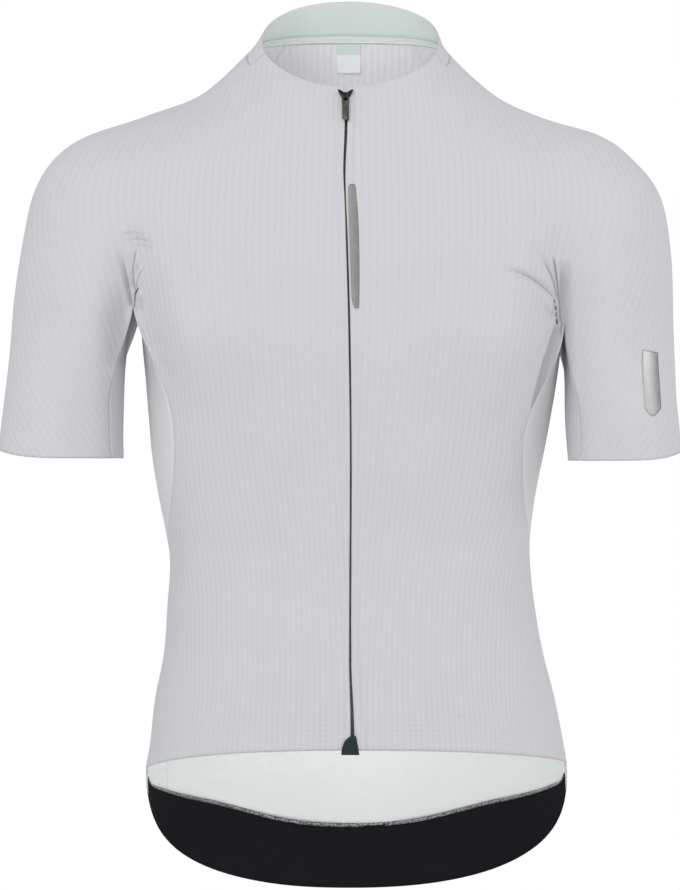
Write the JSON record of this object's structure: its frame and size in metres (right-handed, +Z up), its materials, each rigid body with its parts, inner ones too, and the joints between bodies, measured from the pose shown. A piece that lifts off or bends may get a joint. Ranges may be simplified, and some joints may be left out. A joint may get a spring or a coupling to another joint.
{
  "type": "short-sleeved cycling jersey",
  "caption": "Pale close-fitting cycling jersey with a front zip, low back collar, drop tail with a dark elastic hem band and rear pockets, filled out as if worn.",
  "frame": {"origin": "on the centre plane, level with the shoulders beside the neck, where the wearer's shoulders hold the jersey up", "axes": "+X to the wearer's left, -Y the front, +Z up"},
  "size_m": [0.5698, 0.2413, 0.7648],
  "materials": {
    "ribbed_cloth": "fine-ribbed matt stretch knit, pale lavender grey",
    "elastic_band": "matt black elastic",
    "zip_tape": "woven tape",
    "zip_chain": "dark moulded chain",
    "gunmetal": "satin gunmetal",
    "zip_garage": "dark teal bonded cloth",
    "reflective_film": "grey reflective film",
    "label_cloth": "pale woven label"
  },
  "bodies": {
    "jersey": {"front_right": "ribbed_cloth", "front_left": "ribbed_cloth", "side_right": "ribbed_cloth", "side_left": "ribbed_cloth", "underarm_right": "ribbed_cloth", "underarm_left": "ribbed_cloth", "back": "ribbed_cloth", "collar": "ribbed_cloth", "pocket_right": "ribbed_cloth", "pocket_left": "ribbed_cloth", "pocket_centre": "ribbed_cloth", "back_hem_band": "elastic_band", "zip_tape_right": "zip_tape", "zip_tape_left": "zip_tape", "zip_chain": "zip_chain", "zip_slider": "gunmetal", "zip_garage": "zip_garage", "reflective_strip": "reflective_film", "sleeve_tab": "reflective_film", "neck_label": "label_cloth"},
    "pull": {"zip_pull": "gunmetal"}
  },
  "joints": [
    {"name": "pull_hinge", "type": "hinge", "parent": "jersey", "child": "pull", "pos_m": [-0.00302, -0.07361, -0.03738], "axis": [-1, 0, 0], "range_deg": [0, 120]}
  ]
}
